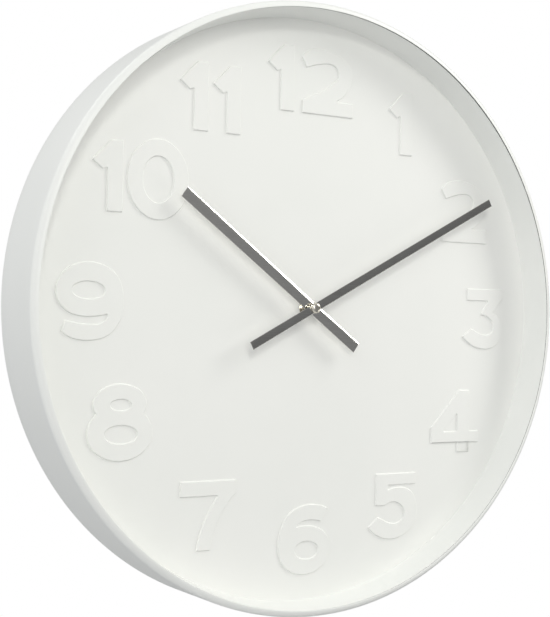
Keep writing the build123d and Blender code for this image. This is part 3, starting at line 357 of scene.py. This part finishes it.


# painted shade in the seam: the paint turns near black between two radii, just behind the front edge
def paintSeamShade(mat, inner, outer, front, colour):
    tree = mat.node_tree
    here = objectCoords(tree)
    flat = combine(tree, "ShaderNodeVectorMath", "MULTIPLY", (here, (1, 0, 1)))["Vector"]
    reach = combine(tree, "ShaderNodeVectorMath", "LENGTH", (flat,))["Value"]
    between = addMath(tree, "MULTIPLY", addMath(tree, "GREATER_THAN", reach, inner),
                      addMath(tree, "LESS_THAN", reach, outer))
    behind = addMath(tree, "GREATER_THAN", splitCoords(tree, here)["Y"], front)
    coverWhere(tree, addMath(tree, "MULTIPLY", between, behind)).default_value = colour


def buildRim(shape, seam):
    low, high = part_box("case_rim")
    outer, front = high.x, low.y
    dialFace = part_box("dial_washer")[1].y
    lip, sheet, edge, rear = shape["lipRadius"], shape["sheet"], shape["edgeRound"], shape["rearRound"]
    flange = outer - shape["flangeWidth"]
    wall = outer - lip
    foot = wall - shape["wallDraft"]
    profile = [(flange, 0.0), (outer - rear, 0.0)]
    profile += arcPoints((outer - rear, -rear), rear, 90, 0, shape["rearSteps"])[1:]
    profile += [(outer, front * k / shape["outerSpans"]) for k in range(1, shape["outerSpans"])]
    profile += arcPoints((wall, front + lip), lip, 0, shape["lipEnd"], shape["lipSteps"])
    profile += arcPoints((wall + edge, front + edge), edge, shape["edgeStart"], -180, shape["edgeSteps"])
    # the seam's two sides, then the wall down to the dial
    seamTop, seamFloor = front + seam["drop"], wall + seam["depth"]
    seamEnd = seamTop + seam["width"]
    profile += [(wall, seamTop), (seamFloor, seamTop), (seamFloor, seamEnd)]
    for k in range(shape["innerSpans"] + 1):
        y = seamEnd + (dialFace - seamEnd) * k / shape["innerSpans"]
        profile.append((wall + (foot - wall) * (y - front) / (dialFace - front), y))
    # back inside the sheet
    profile.append((foot + sheet, dialFace))
    profile += arcPoints((wall, front + lip), lip - sheet, shape["sheetStart"], 0, shape["sheetSteps"])
    profile += [(outer - sheet, -sheet), (flange, -sheet)]
    bm = bmesh.new()
    turnProfile(bm, profile, shape["segments"])
    for v in bm.verts:
        if abs(v.co.y - seamEnd) < near and v.co.xz.length < seamFloor + near:
            away = atan2(v.co.x, v.co.z) - radians(seam["angle"])
            v.co.y += seam["grow"] * max(0.0, cos(away)) ** seam["closing"]
    bmesh.ops.recalc_face_normals(bm, faces=bm.faces)
    rim = keepMesh("caseRim", bm, "rim_paint", shape["sharpAngle"])
    # painted shade: the seam's inside turns near black
    paintSeamShade(rim.data.materials[0], wall + seam["shadeInset"], seamFloor + seam["shadePast"],
               front + seam["shadeBehind"], seam["colour"])
    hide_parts("case_rim")
    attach(rim, "case")


buildRim(rimShape, seamShape)
print("rim turned")

# dial: flat disc with pressed numerals, whose outlines come from the CAD dial
dialShape = dict(hole=4.2 * mm, ringShares=(0.1, 0.3, 0.5, 0.7, 0.85, 0.95),
                 edgeOut=0.1 * mm, edgeIn=0.85 * mm, riseSteps=9, footRise=0.004 * mm, topRing=0.25 * mm,
                 strayLean=0.2, strayRise=0.002 * mm, segments=384, sharpAngle=50.0)
outlineShape = dict(levelReach=0.02 * mm, sideRise=0.1 * mm, cornerAngle=24.0, cornerRound=1.0 * mm,
                    cornerShare=0.45, cornerSteps=5, spacing=1.0 * mm, closest=0.02 * mm, leastLean=0.55)


# neighbours on the outlines of the numerals, where their CAD sides stand on the dial's face
def outlineNeighbours(bm, level, shape):
    onLevel = {v for v in bm.verts if abs(v.co.y - level) < shape["levelReach"]}
    sideLevel = level - shape["sideRise"]
    neighbours = {}
    for edge in bm.edges:
        a, b = edge.verts
        # an outline's edge has one of the upright sides above it
        besideSide = any(v.co.y < sideLevel for f in edge.link_faces for v in f.verts)
        if a in onLevel and b in onLevel and besideSide:
            neighbours.setdefault(a.index, []).append(b.index)
            neighbours.setdefault(b.index, []).append(a.index)
    # where a thin triangle hides an edge, its two loose ends are joined
    loose = sorted(k for k, others in neighbours.items() if len(others) == 1)
    while len(loose) > 1:
        end = loose.pop()
        mate = min(loose, key=lambda k: (bm.verts[k].co - bm.verts[end].co).length)
        loose.remove(mate)
        neighbours[end].append(mate)
        neighbours[mate].append(end)
    return neighbours


def numeralOutlines(node, level, shape):
    bm = bmesh.new()
    bm.from_mesh(cadNodes[node].data)
    bmesh.ops.remove_doubles(bm, verts=bm.verts, dist=near)
    bm.verts.index_update()
    bm.verts.ensure_lookup_table()
    neighbours = outlineNeighbours(bm, level, shape)
    loops = []
    left = set(neighbours)
    while left:
        loop, here = [], min(left)
        while here is not None:
            left.discard(here)
            loop.append(Vector((bm.verts[here].co.x, bm.verts[here].co.z)))
            here = next((n for n in neighbours[here] if n in left), None)
        loops.append(loop)
    bm.free()
    return loops


def signedArea(loop):
    return sum(a.x * b.y - b.x * a.y for a, b in zip(loop, loop[1:] + loop[:1])) / 2


def holds(loop, point):
    inside = False
    for a, b in zip(loop, loop[1:] + loop[:1]):
        if (a.y > point.y) != (b.y > point.y):
            crossing = (b.x - a.x) * (point.y - a.y) / (b.y - a.y) + a.x
            inside = inside != (point.x < crossing)
    return inside


# softens sharp corners with a small round and spaces the points evenly
def softOutline(loop, shape):
    soft = []
    count = len(loop)
    for k in range(count):
        before, here, after = loop[k - 1], loop[k], loop[(k + 1) % count]
        inward, outward = here - before, after - here
        shorter = min(inward.length, outward.length)
        turn = abs(inward.angle_signed(outward)) if shorter > tiny else 0.0
        if degrees(turn) < shape["cornerAngle"]:
            soft.append(here)
            continue
        reach = min(shape["cornerRound"], shorter * shape["cornerShare"])
        start = here - inward.normalized() * reach
        end = here + outward.normalized() * reach
        for step in range(shape["cornerSteps"] + 1):
            t = step / shape["cornerSteps"]
            soft.append(start.lerp(here, t).lerp(here.lerp(end, t), t))
    spaced = []
    for a, b in zip(soft, soft[1:] + soft[:1]):
        parts = max(1, int((b - a).length / shape["spacing"] + 0.5))
        spaced += [a.lerp(b, step / parts) for step in range(parts)]
    return [p for k, p in enumerate(spaced) if (p - spaced[k - 1]).length > shape["closest"]]


# for each point, the step that moves the outline out by one
def outwardSteps(loop, shape):
    steps = []
    count = len(loop)
    for k in range(count):
        inward = (loop[k] - loop[k - 1]).normalized()
        outward = (loop[(k + 1) % count] - loop[k]).normalized()
        square = Vector((inward.y, -inward.x))
        side = square + Vector((outward.y, -outward.x))
        side = side.normalized() if side.length > tiny else square
        steps.append(side / max(shape["leastLean"], side.dot(square)))
    return steps


# the plate itself, with the hole for the bush
def addPlate(bm, shape, edge, face, back):
    hole = shape["hole"]
    plate = [(hole, back), (hole, face)]
    plate += [(hole + (edge - hole) * share, face) for share in shape["ringShares"]]
    plate += [(edge, face), (edge, back)]
    turnProfile(bm, plate, shape["segments"])
    bmesh.ops.recalc_face_normals(bm, faces=bm.faces)


# pressed edge: rises from the plate in one soft curve and flattens out on top; returns its last ring
def addPressedEdge(bm, loop, shape, face, rise):
    profile = []
    for k in range(shape["riseSteps"] + 1):
        t = k / shape["riseSteps"]
        profile.append((shape["edgeOut"] * (1 - t) - shape["edgeIn"] * t, rise * (t * t * (3 - 2 * t))))
    profile.append((-shape["edgeIn"] - shape["topRing"], rise))
    steps = outwardSteps(loop, outlineShape)
    rings = []
    for across, up in profile:
        y = face - max(up, shape["footRise"])
        places = [p + s * across for p, s in zip(loop, steps)]
        rings.append([bm.verts.new((p.x, y, p.y)) for p in places])
    for here, there in zip(rings, rings[1:]):
        addBand(bm, here, there)
    return rings[-1]


# flat top between an outer ring and the rings of its holes
def addTop(bm, rings):
    flat = [v for ring in rings for v in ring]
    for corners in tessellate_polygon([[v.co.xzy for v in ring] for ring in rings]):
        bm.faces.new([flat[k] for k in corners])


def buildDial(shape):
    low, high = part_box("dial")
    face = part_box("dial_washer")[1].y
    loops = [softOutline(loop, outlineShape) for loop in numeralOutlines("dial", face, outlineShape)]
    inner = [any(holds(other, loop[0]) for other in loops if other is not loop) for loop in loops]
    loops = [loop if (signedArea(loop) > 0) != isHole else loop[::-1] for loop, isHole in zip(loops, inner)]
    bm = bmesh.new()
    addPlate(bm, shape, high.x, face, high.y)
    tops = [addPressedEdge(bm, loop, shape, face, face - low.y) for loop in loops]
    for loop, top, isHole in zip(loops, tops, inner):
        if not isHole:
            holes = [ring for other, ring, h in zip(loops, tops, inner) if h and holds(loop, other[0])]
            addTop(bm, [top] + holes)
    # faces of the numerals that look to the back are turned round
    for f in bm.faces:
        f.normal_update()
    raised = face - shape["strayRise"]
    stray = [f for f in bm.faces if f.normal.y > shape["strayLean"] and f.calc_center_median().y < raised]
    bmesh.ops.reverse_faces(bm, faces=stray)
    dial = keepMesh("dialPlate", bm, "dial_paint", shape["sharpAngle"])
    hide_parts("dial")
    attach(dial, "case")
    return len(loops)


outlineCount = buildDial(dialShape)
print("dial pressed with", outlineCount, "outlines")

# hands: the CAD bars with a bevel along their clockwise side, which takes the line of light
handShape = dict(bevelWidths=dict(hour_hand=2.0 * mm, minute_hand=0.45 * mm), bevelTilt=20.0,
                 edgeLeft=0.1 * mm, sharpAngle=12.0)


def buildHand(name, node, body, shape):
    low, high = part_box(node)
    along = handAlong(node)
    across = Vector((along.y, 0, -along.x))
    bm = bmesh.new()
    bm.from_mesh(cadNodes[node].data)
    crease = max(v.co.dot(across) for v in bm.verts) - shape["bevelWidths"][node]
    everything = bm.verts[:] + bm.edges[:] + bm.faces[:]
    bmesh.ops.bisect_plane(bm, geom=everything, plane_co=across * crease, plane_no=across)
    deepest = high.y - shape["edgeLeft"]
    for v in bm.verts:
        drop = (v.co.dot(across) - crease) * tan(radians(shape["bevelTilt"]))
        if drop > 0 and v.co.y < deepest:
            v.co.y = min(max(v.co.y, low.y + drop), deepest)
    hand = keepMesh(name, bm, "hand_metal", shape["sharpAngle"])
    hand.data.materials[0] = cadNodes[node].data.materials[0]
    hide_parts(node)
    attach(hand, body)
    return hand


hourHandPiece = buildHand("hourHandBar", "hour_hand", "hour_hand_train", handShape)
buildHand("minuteHandBar", "minute_hand", "minute_hand_train", handShape)

# cap: a turned nut with a domed shoulder and a small flat on top
capShape = dict(flatRadius=1.7 * mm, skirt=0.9 * mm, edge=0.15 * mm, bore=1.25 * mm, boreDepth=2.0 * mm,
                domeSteps=12, axisGap=0.01 * mm, weld=0.03 * mm, segments=96, sharpAngle=40.0)


def buildCap(shape):
    low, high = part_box("hand_cap")
    base, back, front = high.x, high.y, low.y
    flat, edge, bore, gap = shape["flatRadius"], shape["edge"], shape["bore"], shape["axisGap"]
    skirt, boreEnd = back - shape["skirt"], back - shape["boreDepth"]
    profile = [(bore, back), (base - edge, back), (base, back - edge), (base, skirt)]
    for step in range(1, shape["domeSteps"] + 1):
        turn = radians(90 * step / shape["domeSteps"])
        profile.append((flat + (base - flat) * cos(turn), skirt + (front - skirt) * sin(turn)))
    profile += [(gap, front), (gap, boreEnd), (bore, boreEnd)]
    bm = bmesh.new()
    turnProfile(bm, profile, shape["segments"])
    bmesh.ops.remove_doubles(bm, verts=bm.verts, dist=shape["weld"])  # closes the gap at the axis
    bmesh.ops.recalc_face_normals(bm, faces=bm.faces)
    cap = keepMesh("domedCap", bm, slotOf["hand_cap"], shape["sharpAngle"])
    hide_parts("hand_cap")
    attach(cap, "minute_hand_train")


buildCap(capShape)
print("hands and cap shaped")

# camera: the photograph's place, direction and roll, with the focal length in pixels of its height
cameraSet = dict(place=(-0.59255, -0.95810, -0.02877), ahead=(0.52131, 0.85298, 0.02588), roll=0.775,
                 focalPixels=1289.29, heightPixels=617, sensor=36.0)


def placeCamera(values):
    ahead = Vector(values["ahead"]).normalized()
    side = ahead.cross(Vector((0, 0, 1))).normalized()
    upright = side.cross(ahead)
    turn = radians(values["roll"])
    right = side * cos(turn) + upright * sin(turn)
    up = upright * cos(turn) - side * sin(turn)
    camData = bpy.data.cameras.new("photoCamera")
    camData.sensor_width = values["sensor"]
    camData.sensor_fit = "AUTO"
    camData.lens = values["sensor"] * values["focalPixels"] / values["heightPixels"]
    cam = bpy.data.objects.new("photoCamera", camData)
    cam.matrix_world = Matrix((
        (right.x, up.x, -ahead.x, values["place"][0]),
        (right.y, up.y, -ahead.y, values["place"][1]),
        (right.z, up.z, -ahead.z, values["place"][2]),
        (0, 0, 0, 1)))
    bpy.context.scene.collection.objects.link(cam)
    bpy.context.scene.camera = cam


placeCamera(cameraSet)

# studio: a small lamp above the camera for the crescent of shadow under the lip, a soft box beside it,
# keys at the right, weak boxes for the walls and one for the back
studio = dict(lampTone=(1.0, 0.998, 0.955), boxSize=1.1, distance=2.2,
              lamps={"crescentLamp": dict(toward=(-0.40, -1.0, 0.57), size=0.5, tall=0.3, power=7.6),
                     "frontBox": dict(toward=(-0.337, -0.925, 0.174), power=8.65),
                     "rightKey": dict(toward=(0.785, -0.453, 0.423), size=0.7, power=10.4),
                     "rightHighKey": dict(toward=(0.663, -0.383, 0.643), size=0.7, power=11.3),
                     "leftBox": dict(toward=(-0.663, -0.383, 0.643), power=3.1),
                     "leftWallBox": dict(toward=(-0.893, -0.416, 0.174), power=1.55),
                     "leftTopBox": dict(toward=(-0.40, 0.5, 0.75), power=6.0),
                     "lowBox": dict(toward=(0.814, -0.47, -0.342), power=5.55),
                     "rearBox": dict(toward=(0.7, 0.71, 0.0), power=15.5)})


def addLamp(name, values):
    lampData = bpy.data.lights.new(name, "AREA")
    lampData.shape = "ELLIPSE"
    lampData.size = values.get("size", studio["boxSize"])
    lampData.size_y = values.get("tall", lampData.size)
    lampData.energy = values["power"]
    lampData.color = studio["lampTone"]
    lamp = bpy.data.objects.new(name, lampData)
    toward = Vector(values["toward"]).normalized()
    lamp.location = toward * studio["distance"]
    lamp.rotation_euler = toward.to_track_quat("Z", "Y").to_euler()
    lamp.visible_camera = False
    bpy.context.scene.collection.objects.link(lamp)
    return lamp


# the lamp's light passes through the piece, which then throws no shadow from it
def passLight(lamp, piece):
    passing = bpy.data.collections.new(lamp.name + "Passing")
    passing.objects.link(piece)
    lamp.light_linking.blocker_collection = passing
    for entry in passing.collection_objects:
        entry.light_linking.link_state = "EXCLUDE"


lampsPlaced = {name: addLamp(name, values) for name, values in studio["lamps"].items()}
passLight(lampsPlaced["crescentLamp"], hourHandPiece)  # the photo has no shadow close to the hour hand

# surround: cool light that is strongest at the left, seen by the camera as plain white
surround = dict(level=0.44, slope=(-0.285, 0.049, 0.085), tone=(0.972, 0.987, 1.0), seenTone=(1.0, 1.0, 1.0))


def addSurround(values):
    world = bpy.data.worlds.new("whiteSurround")
    bpy.context.scene.world = world
    world.use_nodes = True
    sky = world.node_tree
    seen = sky.nodes.new("ShaderNodeBackground")
    seen.inputs["Color"].default_value = (*values["seenTone"], 1.0)
    seen.inputs["Strength"].default_value = 1.0
    fill = sky.nodes["Background"]
    fill.inputs["Color"].default_value = (*values["tone"], 1.0)
    around = sky.nodes.new("ShaderNodeTexCoord").outputs["Generated"]
    lean = combine(sky, "ShaderNodeVectorMath", "DOT_PRODUCT", (around, values["slope"]))["Value"]
    sky.links.new(addMath(sky, "ADD", lean, values["level"]), fill.inputs["Strength"])
    rays = sky.nodes.new("ShaderNodeLightPath")
    blend = sky.nodes.new("ShaderNodeMixShader")
    sky.links.new(rays.outputs["Is Camera Ray"], blend.inputs[0])
    sky.links.new(fill.outputs[0], blend.inputs[1])
    sky.links.new(seen.outputs[0], blend.inputs[2])
    sky.links.new(blend.outputs[0], sky.nodes["World Output"].inputs["Surface"])


addSurround(surround)

# pale round floor, well below the hanging clock
floorShape = dict(drop=1.3, radius=0.9, segments=96)
floorFinish = dict(name="floorPaint", dark=(0.86, 0.86, 0.86), light=(0.9, 0.9, 0.9),
                   roughLow=0.6, roughHigh=0.8, peelScale=40.0, peelDepth=0.05 * mm,
                   grainScale=400.0, grainDepth=0.02 * mm, specular=0.2)


def layFloor(shape):
    bm = bmesh.new()
    bmesh.ops.create_circle(bm, cap_ends=True, segments=shape["segments"], radius=shape["radius"])
    mesh = bpy.data.meshes.new("paleFloor")
    bm.to_mesh(mesh)
    bm.free()
    mesh.materials.append(coatedFinish(**floorFinish))
    floor = bpy.data.objects.new("paleFloor", mesh)
    floor.location = (0, 0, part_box("case_rim")[0].z - shape["drop"])
    bpy.context.scene.collection.objects.link(floor)


layFloor(floorShape)
bpy.context.scene.view_settings.view_transform = "Standard"
print("camera, lamps and floor placed")
